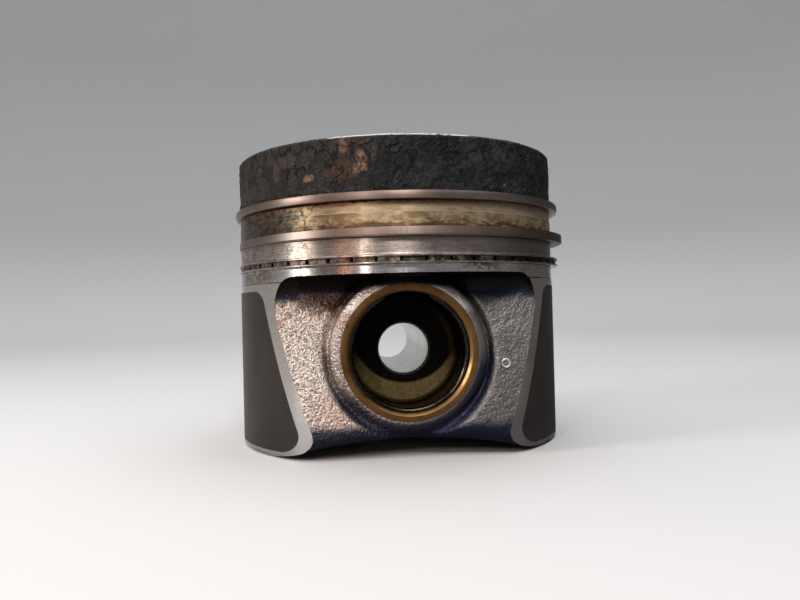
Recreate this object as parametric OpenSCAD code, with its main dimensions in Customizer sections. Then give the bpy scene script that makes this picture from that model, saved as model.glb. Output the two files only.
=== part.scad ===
// Piston of a small turbo-diesel engine with its rings and wrist pin.
// Origin: where the piston's axis crosses the wrist pin's axis.
// +Z runs up through the crown, +Y along the wrist pin, X towards the thrust sides.

/* [Piston] */
// Nominal bore of the cylinder that the piston runs in
bore_d = 84; // [83:0.5:86]
// Height of the crown above the pin axis
crown_h = 48.6; // [48:0.2:51]
// Depth of the skirt's lower edge below the pin axis
skirt_drop = 24.2; // [23:0.2:26]
// Radial gap between the top land and the bore
top_land_gap = 0.3; // [0.2:0.05:0.4]
// Radial gap between the lower lands and the bore
land_gap = 0.2; // [0.1:0.05:0.3]
// Radial gap between the bare skirt and the bore
skirt_gap = 0.03; // [0.02:0.01:0.06]
// Height above the pin axis where the ring belt ends and the skirt begins
skirt_top = 16.7; // [16:0.1:17.5]

/* [Combustion bowl] */
// Diameter of the bowl's mouth
bowl_mouth_d = 44.6; // [42:0.2:46]
// Diameter of the circle that the middle of the bowl's round trough follows
bowl_trough_d = 35; // [34:0.2:36]
// Radius of the trough's round section
bowl_trough_r = 6.3; // [5.5:0.1:6.6]
// Depth of the trough's centre line below the crown
bowl_trough_depth = 8.2; // [7.5:0.1:8.6]
// Depth of the centre cone's tip below the crown
bowl_cone_depth = 4.5; // [4:0.1:6]
// Diameter of each valve relief
valve_d = 26; // [24:0.5:28]
// Depth of the valve reliefs
valve_depth = 0.6; // [0.3:0.1:1]

/* [Boss sides] */
// Height of the roof over each boss recess
recess_roof = 18; // [17.5:0.1:18.2]
// Width of each boss recess
recess_w = 64.6; // [62:0.2:66]
// Corner radius of the recess under the ring belt
recess_r = 6; // [4:0.5:8]
// Lean of the cast boss wall, outwards towards the bottom
wall_tilt = 14; // [12:0.5:15]
// Distance of the wall's outer face from the origin, square to the wall
wall_d = 29.85; // [29:0.05:30.5]
// Thickness of the cast boss wall
wall_t = 4.6; // [4:0.1:5.5]
// Outer diameter of the raised boss
boss_d = 39; // [38:0.5:40]
// Radius round the rim of the boss
boss_round = 2; // [1:0.25:2.5]
// Distance of the boss faces from the piston's axis
boss_face = 34; // [33.5:0.1:34.5]
// Room between the bosses for the rod's small end
boss_gap = 25; // [22:0.5:27]
// Radius of the arch cut under each boss wall
arch_r = 125; // [110:5:150]
// Height of the arch's middle, below the pin axis
arch_drop = 20; // [19.8:0.1:21]

/* [Wrist pin and bushings] */
// Diameter of the wrist pin
pin_d = 28; // [27.5:0.1:28.2]
// Diameter of the hole through the wrist pin
pin_hole_d = 12.6; // [12:0.2:14]
// Length of the wrist pin
pin_len = 60; // [59:0.1:60]
// How far the loose pin stands pushed towards the back
pin_push = 13.5; // [10:0.5:18]
// Radial running clearance of the pin in its bushings
pin_clearance = 0.03; // [0.02:0.01:0.06]
// Outer diameter of the bushings
bush_d = 32; // [31.8:0.1:32.4]
// Wire diameter of the circlip
clip_wire = 1.8; // [1.6:0.1:1.8]

/* [Rings] */
// Height of the top compression ring
top_ring_h = 1.75; // [1.5:0.05:2]
// Height of the second compression ring
second_ring_h = 2; // [1.75:0.05:2.1]
// Height of the oil control ring
oil_ring_h = 2; // [1.9:0.05:2.1]
// Vertical play between a ring and each side of its groove
ring_play = 0.04; // [0.03:0.01:0.06]
// Free outer radius of the top compression ring
top_ring_r = 43.34; // [43:0.02:43.6]
// Free outer radius of the second compression ring
second_ring_r = 43.46; // [43.2:0.02:43.6]
// Free outer radius of the oil control ring
oil_ring_r = 43; // [42.8:0.02:43.2]

/* [Skirt coating] */
// Height of the coating's upper edge above the pin axis
coat_top = 15; // [14:0.2:15.6]
// Depth of the coating's lower edge below the pin axis
coat_drop = 22.6; // [21:0.2:22.8]
// Half width of the coating at its upper edge
coat_top_half = 25; // [22:0.5:26]
// Half width of the coating near its lower edge
coat_low_half = 33; // [30:0.5:33.5]

/* [Hidden] */
$fn = 96;
// How far cutters run past the faces that they cut, and the size of a half-space block
over = 2;
far = 120;

// Radii of the turned outside
bore_r = bore_d / 2;
top_land_r = bore_r - top_land_gap;
land_r = bore_r - land_gap;
skirt_r = bore_r - skirt_gap;
crown_bevel = 0.5;
skirt_bevel = 0.8;
belt_step_z = 31.4;

// Ring grooves: middle height of each and radius of its floor
top_z = 35;
second_z = 27;
oil_z = 21;
groove_floor_r = bore_r - 4.2;
oil_floor_r = bore_r - 4.6;

// Ring carrier: a cast-iron hoop with leaning flanks that holds the top groove
carrier_low = belt_step_z;
carrier_high = 39.2;
carrier_inner_r = 36.2;
carrier_flank = 1.3;

// Hollow under the crown
hollow_top = 25.5;
hollow_low_r = 37.6;
hollow_top_r = 33;
hollow_shoulder = 16;
hollow_round = 5;
foot_bevel = 1;

// Half width of each boss pillar where it meets the crown
pillar_half = 17;

// Bevel round the bowl's mouth
bowl_bevel = 0.8;

// Oil cooling gallery inside the crown, and the hole at each end of its loop
gallery_r = 31.4;
gallery_w = 5.2;
gallery_low = 31.8;
gallery_high = 40.4;
gallery_hole_d = 3.8;
gallery_hole_angles = [12, 192];

// Oil drains from the oil groove to the hollow
drain_d = 2.4;
drain_angles = [-24, 0, 24, 156, 180, 204];

// Valve reliefs, two larger and two smaller offsets as the valves stand
valve_centres = [[-18, -17], [-18, 17], [19, -16], [19, 16]];

// Circlip groove in each bushing, just outside the ends of the centred pin
clip_groove_in = 30.1;
clip_groove_w = clip_wire + 0.05;
clip_groove_r = (pin_d + clip_wire) / 2;
clip_mid_r = clip_groove_r - clip_wire / 2;
clip_gap_angle = 44;
clip_ease = 0.02;
bush_bevel = 0.7;

// Wrist pin bevels
pin_bevel = 1;
pin_hole_bevel = 0.5;

// Rings as they stand sprung open, each with its centre off to one side
top_ring_x = 0.38;
second_ring_x = 1.36;
oil_ring_x = 0.6;
top_ring_t = 3.3;
second_ring_t = 3.4;
top_ring_gap = 9.5;
second_ring_gap = 10;
oil_ring_gap = 8;
top_gap_angle = 60;
second_gap_angle = 118;
oil_gap_angle = 88;
ring_bevel = 0.12;
napier_h = 0.45;
napier_in = 0.35;
napier_lip = 0.2;
taper = 0.05;

// Oil control ring: two scraping lands, a slotted web and a round seat at the back
oil_ring_t = 2.4;
rail_h = 0.45;
rail_depth = 0.55;
slot_count = 48;
slot_w = 0.8;
slot_h = 0.9;
spring_r = 0.85;
spring_hollow_r = 0.45;
spring_seat_r = spring_r + 0.02;
spring_mid_r = oil_ring_r - oil_ring_t - 0.05;
wire_fn = 32;
latch_r = 0.35;
latch_angle = 40;

// Skirt coating
coat_t = 0.15;
coat_outer_r = skirt_r + 0.02;
coat_inner_r = coat_outer_r - coat_t;
coat_round = 4;
coat_arc_steps = 6;

// A cylinder along Y from one y to another
module y_rod(r, y0, y1) {
    translate([0, y1, 0])
        rotate([90, 0, 0])
            cylinder(r = r, h = y1 - y0);
}

// A flat ring-shaped cutter around Z
module groove(z, h, floor_r) {
    translate([0, 0, z - h / 2])
        difference() {
            cylinder(r = bore_r + over, h = h);
            translate([0, 0, -over])
                cylinder(r = floor_r, h = h + 2 * over);
        }
}

// Everything on the outer side of a boss wall face that lies d from the origin
module beyond_wall(d) {
    rotate([-wall_tilt, 0, 0])
        translate([-far, -d - far, -far])
            cube([2 * far, far, 2 * far]);
}

// Both sides of the piston, front and back
module front_and_back() {
    children();
    mirror([0, 1, 0])
        children();
}

// Outside of the piston as turned on the lathe
module turned_outside() {
    rotate_extrude()
        polygon([
            [0, -skirt_drop],
            [skirt_r - skirt_bevel, -skirt_drop],
            [skirt_r, -skirt_drop + skirt_bevel],
            [skirt_r, skirt_top],
            [land_r, skirt_top + skirt_r - land_r],
            [land_r, belt_step_z],
            [top_land_r, belt_step_z],
            [top_land_r, crown_h - crown_bevel],
            [top_land_r - crown_bevel, crown_h],
            [0, crown_h]
        ]);
}

// Outline of a boss recess seen along the pin
module recess_outline() {
    half = recess_w / 2;
    translate([-half, -far / 2])
        square([recess_w, far / 2 + recess_roof - recess_r]);
    translate([recess_r - half, -far / 2])
        square([recess_w - 2 * recess_r, far / 2 + recess_roof]);
    for (side = [-1, 1])
        translate([side * (half - recess_r), recess_roof - recess_r])
            circle(r = recess_r);
}

// Space outside the front boss wall
module boss_recess() {
    intersection() {
        rotate([90, 0, 0])
            linear_extrude(height = far / 2)
                recess_outline();
        beyond_wall(wall_d);
    }
}

// Space under the crown between the skirt and the boss walls
module hollow() {
    difference() {
        rotate_extrude()
            union() {
                polygon([
                    [0, -skirt_drop - over],
                    [hollow_low_r + foot_bevel, -skirt_drop - over],
                    [hollow_low_r + foot_bevel, -skirt_drop],
                    [hollow_low_r, -skirt_drop + 1.5 * foot_bevel],
                    [hollow_low_r, 0],
                    [hollow_top_r, hollow_shoulder],
                    [hollow_top_r, hollow_top - hollow_round],
                    [hollow_top_r - hollow_round, hollow_top - hollow_round],
                    [hollow_top_r - hollow_round, hollow_top],
                    [0, hollow_top]
                ]);
                translate([hollow_top_r - hollow_round, hollow_top - hollow_round])
                    circle(r = hollow_round);
            }
        front_and_back()
            beyond_wall(wall_d - wall_t);
    }
}

// Front pin boss: a round-rimmed cylinder with a pillar up to the crown
module pin_boss() {
    boss_r = boss_d / 2;
    rotate([90, 0, 0])
        translate([0, 0, boss_gap / 2])
            rotate_extrude()
                union() {
                    square([boss_r, boss_face - boss_gap / 2 - boss_round]);
                    square([boss_r - boss_round, boss_face - boss_gap / 2]);
                    translate([boss_r - boss_round, boss_face - boss_gap / 2 - boss_round])
                        circle(r = boss_round);
                }
    difference() {
        rotate([90, 0, 0])
            translate([0, 0, boss_gap / 2])
                linear_extrude(height = boss_face - boss_gap / 2)
                    polygon([
                        [-boss_r, 0],
                        [boss_r, 0],
                        [pillar_half, hollow_top + over],
                        [-pillar_half, hollow_top + over]
                    ]);
        beyond_wall(wall_d);
    }
}

// Combustion bowl: a round trough about a centre cone, under a narrower mouth
module bowl() {
    trough_mid_r = bowl_trough_d / 2;
    tip_to_mid = [trough_mid_r, bowl_cone_depth - bowl_trough_depth];
    reach = norm(tip_to_mid);
    touch = sqrt(reach * reach - bowl_trough_r * bowl_trough_r);
    slope = atan2(tip_to_mid.y, tip_to_mid.x) - asin(bowl_trough_r / reach);
    translate([0, 0, crown_h])
        rotate_extrude()
            union() {
                translate([trough_mid_r, -bowl_trough_depth])
                    circle(r = bowl_trough_r);
                polygon([
                    [0, over],
                    [0, -bowl_cone_depth],
                    [touch * cos(slope), touch * sin(slope) - bowl_cone_depth],
                    [trough_mid_r, -bowl_trough_depth],
                    [bowl_mouth_d / 2, -bowl_trough_depth],
                    [bowl_mouth_d / 2, -bowl_bevel],
                    [bowl_mouth_d / 2 + bowl_bevel, 0],
                    [bowl_mouth_d / 2 + bowl_bevel, over]
                ]);
            }
}

// Shallow reliefs in the crown that clear the valves
module valve_reliefs() {
    for (centre = valve_centres)
        translate([centre.x, centre.y, crown_h - valve_depth])
            cylinder(d = valve_d, h = valve_depth + over);
}

// Closed ring channel for cooling oil, with a feed and a return hole
module cooling_gallery() {
    end_r = gallery_w / 2;
    hole_foot = hollow_top - hollow_round;
    rotate_extrude()
        union() {
            for (z = [gallery_low + end_r, gallery_high - end_r])
                translate([gallery_r, z])
                    circle(r = end_r);
            translate([gallery_r - end_r, gallery_low + end_r])
                square([gallery_w, gallery_high - gallery_low - gallery_w]);
        }
    for (angle = gallery_hole_angles)
        rotate([0, 0, angle])
            translate([gallery_r, 0, hole_foot])
                cylinder(d = gallery_hole_d, h = gallery_low + end_r - hole_foot);
}

// Radial drains behind the oil ring
module oil_drains() {
    for (angle = drain_angles)
        rotate([0, 0, angle])
            translate([hollow_top_r - over, 0, oil_z])
                rotate([0, 90, 0])
                    cylinder(d = drain_d, h = oil_floor_r - hollow_top_r + 2 * over);
}

// Arch under the boss walls
module arch() {
    translate([0, 0, -arch_drop - arch_r])
        y_rod(arch_r, -bore_r, bore_r, $fn = 360);
}

// Solid of the carrier before its groove is cut, out to a given radius
module carrier_hoop(outer_r) {
    rotate_extrude()
        polygon([
            [carrier_inner_r, carrier_low + carrier_flank],
            [top_land_r, carrier_low],
            [outer_r, carrier_low],
            [outer_r, carrier_high],
            [top_land_r, carrier_high],
            [carrier_inner_r, carrier_high - carrier_flank]
        ]);
}

// Points of an arc that rounds one corner of the skirt coating
function corner_arc(centre, from, to) = [
    for (i = [0 : coat_arc_steps])
        let (angle = from + (to - from) * i / coat_arc_steps)
            centre + coat_round * [cos(angle), sin(angle)]
];

// Outline of a skirt coating pad: a trapezium with round corners, in Y and Z
module coat_outline() {
    low = [coat_low_half - coat_round, coat_round - coat_drop];
    top = [coat_top_half - coat_round, coat_top - coat_round];
    lean = atan2(low.x - top.x, top.y - low.y);
    right = concat(corner_arc(low, -90, lean), corner_arc(top, lean, 90));
    left = [for (i = [len(right) - 1 : -1 : 0]) [-right[i].x, right[i].y]];
    polygon(concat(right, left));
}

// Block that covers the right coating pad from a radius outwards
module coat_block(inner_r, outer_r) {
    intersection() {
        difference() {
            cylinder(r = outer_r, h = 2 * bore_r, center = true);
            cylinder(r = inner_r, h = 3 * bore_r, center = true);
        }
        rotate([90, 0, 90])
            linear_extrude(height = bore_r + over)
                coat_outline();
    }
}

module piston_body() {
    color("silver")
        difference() {
            intersection() {
                turned_outside();
                union() {
                    difference() {
                        turned_outside();
                        hollow();
                        front_and_back()
                            boss_recess();
                    }
                    front_and_back()
                        pin_boss();
                }
            }
            y_rod(bush_d / 2, -bore_r, bore_r);
            arch();
            bowl();
            valve_reliefs();
            cooling_gallery();
            oil_drains();
            carrier_hoop(bore_r + over);
            groove(second_z, second_ring_h + 2 * ring_play, groove_floor_r);
            groove(oil_z, oil_ring_h + 2 * ring_play, oil_floor_r);
            coat_block(coat_inner_r, bore_r + over);
            mirror([1, 0, 0])
                coat_block(coat_inner_r, bore_r + over);
        }
}

module ring_carrier() {
    color("dimgray")
        difference() {
            carrier_hoop(top_land_r);
            groove(top_z, top_ring_h + 2 * ring_play, groove_floor_r);
        }
}

// Front bushing, with its circlip groove and a bevel at the outer edge
module bushing() {
    bore = pin_d / 2 + pin_clearance;
    color("darkgoldenrod")
        difference() {
            y_rod(bush_d / 2, -boss_face, -boss_gap / 2);
            y_rod(bore, -bore_r, 0);
            y_rod(clip_groove_r, -clip_groove_in - clip_groove_w, -clip_groove_in);
            translate([0, -boss_face + bush_bevel, 0])
                rotate([90, 0, 0])
                    cylinder(r1 = bore, r2 = bore + 2 * bush_bevel, h = 2 * bush_bevel);
        }
}

module pin_bushing_front() {
    bushing();
}

module pin_bushing_rear() {
    mirror([0, 1, 0])
        bushing();
}

module wrist_pin() {
    color("gray")
        translate([0, pin_push, 0])
            rotate([90, 0, 0])
                translate([0, 0, -pin_len / 2])
                    rotate_extrude()
                        polygon([
                            [pin_hole_d / 2, pin_hole_bevel],
                            [pin_hole_d / 2 + pin_hole_bevel, 0],
                            [pin_d / 2 - pin_bevel, 0],
                            [pin_d / 2, pin_bevel],
                            [pin_d / 2, pin_len - pin_bevel],
                            [pin_d / 2 - pin_bevel, pin_len],
                            [pin_hole_d / 2 + pin_hole_bevel, pin_len],
                            [pin_hole_d / 2, pin_len - pin_hole_bevel]
                        ]);
}

// Open wire ring in the front bushing's groove, its gap at the top
module circlip_front() {
    opening = [for (side = [-1, 1]) [side * far * sin(clip_gap_angle / 2), far * cos(clip_gap_angle / 2)]];
    color("darkgray")
        translate([0, -clip_groove_in - clip_groove_w / 2, 0])
            rotate([90, 0, 0])
                difference() {
                    rotate_extrude()
                        translate([clip_mid_r, 0])
                            circle(d = clip_wire - clip_ease, $fn = wire_fn);
                    translate([0, 0, -far / 2])
                        linear_extrude(height = far)
                            polygon([[0, 0], opening[1], opening[0]]);
                }
}

// A ring with its end gap, turned about its own centre
module split_ring(x, z, gap, gap_angle) {
    translate([x, 0, z])
        difference() {
            children();
            rotate([0, 0, gap_angle])
                translate([0, -gap / 2, -over])
                    cube([bore_d, gap, 2 * over]);
        }
}

module top_compression_ring() {
    h = top_ring_h / 2;
    color("rosybrown")
        split_ring(top_ring_x, top_z, top_ring_gap, top_gap_angle)
            rotate_extrude()
                polygon([
                    [top_ring_r - top_ring_t, -h],
                    [top_ring_r - ring_bevel, -h],
                    [top_ring_r, -h + ring_bevel],
                    [top_ring_r, h - ring_bevel],
                    [top_ring_r - ring_bevel, h],
                    [top_ring_r - top_ring_t, h]
                ]);
}

// Taper-faced ring with a small hook under its scraping edge
module second_compression_ring() {
    h = second_ring_h / 2;
    color("rosybrown")
        split_ring(second_ring_x, second_z, second_ring_gap, second_gap_angle)
            rotate_extrude()
                polygon([
                    [second_ring_r - second_ring_t, -h],
                    [second_ring_r - napier_in, -h],
                    [second_ring_r - napier_in, -h + napier_h],
                    [second_ring_r, -h + napier_h - napier_lip],
                    [second_ring_r - taper, h - ring_bevel],
                    [second_ring_r - taper - ring_bevel, h],
                    [second_ring_r - second_ring_t, h]
                ]);
}

module oil_control_ring() {
    h = oil_ring_h / 2;
    web_r = oil_ring_r - rail_depth;
    color("silver")
        split_ring(oil_ring_x, oil_z, oil_ring_gap, oil_gap_angle)
            difference() {
                rotate_extrude()
                    difference() {
                        polygon([
                            [oil_ring_r - oil_ring_t, -h],
                            [oil_ring_r, -h],
                            [oil_ring_r, -h + rail_h],
                            [web_r, -h + rail_h],
                            [web_r, h - rail_h],
                            [oil_ring_r, h - rail_h],
                            [oil_ring_r, h],
                            [oil_ring_r - oil_ring_t, h]
                        ]);
                        translate([spring_mid_r, 0])
                            circle(r = spring_seat_r, $fn = wire_fn);
                    }
                for (i = [0 : slot_count - 1])
                    rotate([0, 0, (i + 0.5) * 360 / slot_count])
                        translate([spring_mid_r, -slot_w / 2, -slot_h / 2])
                            cube([oil_ring_t + over, slot_w, slot_h]);
            }
}

// Coil expander behind the oil ring, as the closed tube that its fine coils fill
module oil_ring_spring() {
    color("gray")
        translate([oil_ring_x, 0, oil_z])
            rotate_extrude()
                translate([spring_mid_r, 0])
                    difference() {
                        circle(r = spring_r, $fn = wire_fn);
                        circle(r = spring_hollow_r, $fn = wire_fn);
                    }
}

// Short wire inside the coil that joins its two ends, opposite the ring's gap
module spring_latch_wire() {
    color("lightgray")
        translate([oil_ring_x, 0, oil_z])
            rotate([0, 0, oil_gap_angle + 180 - latch_angle / 2])
                rotate_extrude(angle = latch_angle)
                    translate([spring_mid_r, 0])
                        circle(r = latch_r, $fn = wire_fn);
}

module skirt_coating_right() {
    color("darkslategray")
        coat_block(coat_inner_r, coat_outer_r);
}

module skirt_coating_left() {
    color("darkslategray")
        mirror([1, 0, 0])
            coat_block(coat_inner_r, coat_outer_r);
}

piston_body();
ring_carrier();
pin_bushing_front();
pin_bushing_rear();
wrist_pin();
circlip_front();
top_compression_ring();
second_compression_ring();
oil_control_ring();
oil_ring_spring();
spring_latch_wire();
skirt_coating_left();
skirt_coating_right();
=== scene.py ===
"""Looks of a used diesel piston: the casting, its rings, bushings, pin and deposits.

Lengths in the numbers below are millimetres and become metres in make_object().
The frame is the CAD's: origin where the piston's axis crosses the pin's axis, +Z up
through the crown, +Y along the pin. The front is the side that faces -Y.
"""
import math

import bmesh
import bpy
import numpy as np
from mathutils import Matrix, Vector


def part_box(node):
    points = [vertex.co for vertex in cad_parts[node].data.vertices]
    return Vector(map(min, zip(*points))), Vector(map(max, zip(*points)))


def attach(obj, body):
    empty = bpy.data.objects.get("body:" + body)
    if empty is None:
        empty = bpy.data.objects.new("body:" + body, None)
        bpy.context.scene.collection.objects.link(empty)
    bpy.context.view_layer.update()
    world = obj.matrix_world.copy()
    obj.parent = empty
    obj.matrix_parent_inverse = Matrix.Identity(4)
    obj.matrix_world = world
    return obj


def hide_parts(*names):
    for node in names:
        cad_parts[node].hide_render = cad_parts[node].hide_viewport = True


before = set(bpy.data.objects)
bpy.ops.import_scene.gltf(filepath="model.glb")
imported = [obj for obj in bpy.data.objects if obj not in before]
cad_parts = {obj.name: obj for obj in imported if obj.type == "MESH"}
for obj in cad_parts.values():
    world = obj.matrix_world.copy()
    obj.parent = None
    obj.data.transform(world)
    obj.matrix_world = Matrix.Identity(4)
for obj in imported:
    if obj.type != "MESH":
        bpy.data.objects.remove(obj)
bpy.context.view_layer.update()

MM = 0.001


# ---- sizes, from the frame

def box_mm(node):
    """Lowest and highest corner of a CAD node, in millimetres."""
    low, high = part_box(node)
    return np.array(low) / MM, np.array(high) / MM


class RingPlace:
    """Middle height, height, centre and outer radius of a ring, read from its CAD node."""

    def __init__(self, node):
        low, high = box_mm(node)
        self.z = (low[2] + high[2]) / 2
        self.h = high[2] - low[2]
        self.x = (low[0] + high[0]) / 2
        self.r = (high[0] - low[0]) / 2


body_low, body_high = box_mm("piston_body")
carrier_low, carrier_high = box_mm("ring_carrier")
bush_low, bush_high = box_mm("pin_bushing_front")
pin_low, pin_high = box_mm("wrist_pin")
clip_low, clip_high = box_mm("circlip_front")
pad_low, pad_high = box_mm("skirt_coating_right")
top_ring = RingPlace("top_compression_ring")
second_ring = RingPlace("second_compression_ring")
oil_ring = RingPlace("oil_control_ring")

FOOT = body_low[2]
CROWN = body_high[2]
SKIRT_R = body_high[0]
BORE_R = 42.0  # the cylinder's
LAND_R = BORE_R - 0.2
TOP_R = BORE_R - 0.3
TOP_METAL_R = TOP_R - 0.16
SKIRT_TOP = 16.7
PLAY = 0.04  # of a ring in its groove, at each side
GROOVE_FLOOR = BORE_R - 4.2
OIL_FLOOR = BORE_R - 4.6
CARRIER_IN = 36.2
CARRIER_FLANK = 1.3

PIN_R = (pin_high[2] - pin_low[2]) / 2
PIN_HOLE_R = 6.3
BUSH_R = (bush_high[2] - bush_low[2]) / 2
BUSH_BORE_R = PIN_R + 0.03
BOSS_FACE = -bush_low[1]
BOSS_INNER = -bush_high[1]

WALL_OUT = 30.76  # outer side of the boss walls at the pin's height; they lean in upwards
WALL_SLOPE = 0.2493
WALL_COS = math.cos(math.atan(WALL_SLOPE))
WALL_THICK = 4.6 / WALL_COS
ROOF = 18.0
RECESS_HALF = 32.3  # half width of the flat boss wall
RECESS_R = 6.0
BOSS_R = 19.5
BOSS_EDGE_R = 18.5
ARCH_R = 125.0  # lower edge of the boss walls
ARCH_TOP = -20.0
VALLEY_R = 18.8  # groove in the wall round the boss
VALLEY_DEPTH = 1.35
BOSS_ROUND = 2.6
HOLLOW_R = 37.6
HOLLOW_TOP = 25.5
MOUTH_R = 22.3  # of the bowl
WALL_R = 41.3  # the turned wall lies outside this radius
COIL_R = oil_ring.r - 2.45  # middle of the expander's coils
OIL_GAP = 88  # azimuth of the oil ring's gap


# ---- numbers and noise

def smin(a, b, k):
    """Smooth minimum of two distance fields, rounded over about k."""
    h = np.clip(0.5 + 0.5 * (b - a) / k, 0.0, 1.0)
    return b * (1 - h) + a * h - k * h * (1 - h)


def smax(a, b, k):
    return -smin(-a, -b, k)


def ease(low, high, v):
    """0 below low, 1 above high, smooth between."""
    t = np.clip((v - low) / (high - low), 0.0, 1.0)
    return t * t * (3 - 2 * t)


def value_noise(x, y, z, cell, seed):
    """Smooth random field in -1..1 with features of about one cell."""
    table = np.random.default_rng(seed).uniform(-1, 1, (32, 32, 32)).astype(np.float32)
    whole, part = [], []
    for v in (x, y, z):
        q = np.asarray(v, np.float32) / cell + 1000.0
        w = np.floor(q).astype(np.int32)
        f = q - w
        whole.append(w)
        part.append(f * f * (3 - 2 * f))
    out = 0
    for corner in np.ndindex(2, 2, 2):
        weight = 1.0
        for c, f in zip(corner, part):
            weight = weight * (f if c else 1 - f)
        out = out + weight * table[tuple((w + c) & 31 for w, c in zip(whole, corner))]
    return out


def fractal(x, y, z, cell, seed, octaves=3, gain=0.5):
    """Sum of finer and weaker layers of value_noise."""
    total, weight = 0, 1.0
    for i in range(octaves):
        total = total + weight * value_noise(x, y, z, cell, seed + i)
        cell /= 2.03
        weight *= gain
    return total


# ---- meshes

def make_object(name, verts, faces, smooth=True):
    """A mesh object from millimetre points and a list or array of faces, turned to face outwards."""
    mesh = bpy.data.meshes.new(name)
    faces = faces.tolist() if isinstance(faces, np.ndarray) else faces
    mesh.from_pydata((np.asarray(verts) * MM).tolist(), [], faces)
    mesh.validate()
    turned = bmesh.new()
    turned.from_mesh(mesh)
    bmesh.ops.recalc_face_normals(turned, faces=turned.faces)
    turned.to_mesh(mesh)
    turned.free()
    if smooth:
        mesh.shade_smooth()
    obj = bpy.data.objects.new(name, mesh)
    bpy.context.scene.collection.objects.link(obj)
    return obj


def crease(obj, degrees):
    """Keeps edges sharper than this angle crisp."""
    obj.data.set_sharp_from_angle(angle=math.radians(degrees))


def lattice(rows, cols, wrap_rows, wrap_cols):
    """Quads of a grid of rows by cols points. A wrapped side joins its last row to its first."""
    i = np.arange(rows if wrap_rows else rows - 1)[:, None]
    j = np.arange(cols if wrap_cols else cols - 1)[None, :]
    i2, j2 = (i + 1) % rows, (j + 1) % cols
    quads = [i * cols + j, i2 * cols + j, i2 * cols + j2, i * cols + j2]
    return np.stack(quads, -1).reshape(-1, 4)


def soften(points, size, closed=True):
    """Bevels each sharp corner of an outline with a short arc."""
    pts = [np.array(p, float) for p in points]
    out = []
    n = len(pts)
    for i, p in enumerate(pts):
        if not closed and i in (0, n - 1):
            out.append(p)
            continue
        a, b = pts[i - 1] - p, pts[(i + 1) % n] - p
        la, lb = np.linalg.norm(a), np.linalg.norm(b)
        turn = math.degrees(math.acos(np.clip(np.dot(a, b) / (la * lb), -1, 1)))
        if turn > 155:
            out.append(p)
            continue
        s = min(size, 0.42 * la, 0.42 * lb)
        start, end = p + a / la * s, p + b / lb * s
        for t in (0.0, 0.33, 0.67, 1.0):
            out.append((1 - t) ** 2 * start + 2 * t * (1 - t) * p + t * t * end)
    return np.array(out)


def revolve(outline, segments, start=0.0, end=360.0, centre_x=0.0, closed=True):
    """Turns an (r, z) outline about Z. With an end short of a full turn, the ends are capped."""
    full = abs(end - start - 360.0) < 1e-6
    steps = segments if full else segments + 1
    angle = np.radians(start + (end - start) * np.arange(steps) / segments)
    r, z = outline[:, 0], outline[:, 1]
    n = len(r)
    x = centre_x + np.outer(np.cos(angle), r)
    y = np.outer(np.sin(angle), r)
    verts = np.stack([x, y, np.broadcast_to(z, x.shape)], -1).reshape(-1, 3)
    faces = lattice(steps, n, full, closed)
    if full:
        return verts, faces
    return verts, faces.tolist() + [list(range(n))[::-1], [segments * n + k for k in range(n)]]


def revolve_solid(outline, segments):
    """Turns an open outline whose two ends lie on the axis into a closed solid."""
    verts, faces = revolve(outline[1:-1], segments, closed=False)
    n, low = len(outline) - 2, len(verts)
    verts = np.vstack([verts, [[0, 0, outline[0][1]], [0, 0, outline[-1][1]]]])
    faces = faces.tolist()
    for i in range(segments):
        k = (i + 1) % segments
        faces += [[low, k * n, i * n], [low + 1, i * n + n - 1, k * n + n - 1]]
    return verts, faces


def surface_net(field, low, step):
    """Closed quad mesh of the surface where a sampled field crosses zero; inside is below zero."""
    inside = field < 0
    size = np.array(field.shape) - 1
    corners = list(np.ndindex(2, 2, 2))
    count = np.zeros(size, np.uint8)
    for corner in corners:
        count += inside[tuple(slice(c, n + c) for c, n in zip(corner, size))]
    cells = np.argwhere((count > 0) & (count < 8))
    value = {c: field[tuple((cells + c).T)] for c in corners}
    total, hits = np.zeros((len(cells), 3)), np.zeros(len(cells))
    for a in corners:
        for axis in (k for k in range(3) if not a[k]):
            va, vb = value[a], value[a[:axis] + (1,) + a[axis + 1:]]
            cross = (va < 0) != (vb < 0)
            point = np.tile(np.array(a, float), (len(cells), 1))
            point[:, axis] += np.where(cross, va / np.where(cross, va - vb, 1.0), 0.0)
            total += point * cross[:, None]
            hits += cross
    index = np.full(count.shape, -1)
    index[tuple(cells.T)] = np.arange(len(cells))
    quads = []
    for axis in range(3):
        u, v = (axis + 1) % 3, (axis + 2) % 3
        before, after = np.delete(inside, -1, axis), np.delete(inside, 0, axis)
        spots = np.argwhere(before != after)
        spots = spots[((spots > 0) & (spots < size))[:, [u, v]].all(1)]
        ring = []
        for du, dv in ((-1, -1), (0, -1), (0, 0), (-1, 0)):
            cell = spots.copy()
            cell[:, u] += du
            cell[:, v] += dv
            ring.append(index[tuple(cell.T)])
        quad = np.stack(ring, -1)
        flip = ~before[tuple(spots.T)]
        quad[flip] = quad[flip][:, ::-1]
        quads.append(quad)
    return np.array(low) + (cells + total / hits[:, None]) * step, np.vstack(quads)


def grid(low, high, step):
    """Sample points of a box, as three arrays."""
    axes = [np.arange(a, b + step, step, dtype=np.float32) for a, b in zip(low, high)]
    return np.meshgrid(*axes, indexing="ij")


def cut(obj, cutters):
    """Takes the cutters out of obj, one after another, and removes them."""
    for cutter in cutters:
        step = obj.modifiers.new("cut", "BOOLEAN")
        step.operation = "DIFFERENCE"
        step.solver = "MANIFOLD"
        step.object = cutter
    graph = bpy.context.evaluated_depsgraph_get()
    old = obj.data
    mesh = bpy.data.meshes.new_from_object(obj.evaluated_get(graph))
    obj.modifiers.clear()
    obj.data = mesh
    bpy.data.meshes.remove(old)
    for cutter in cutters:
        bpy.data.objects.remove(cutter)


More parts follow.
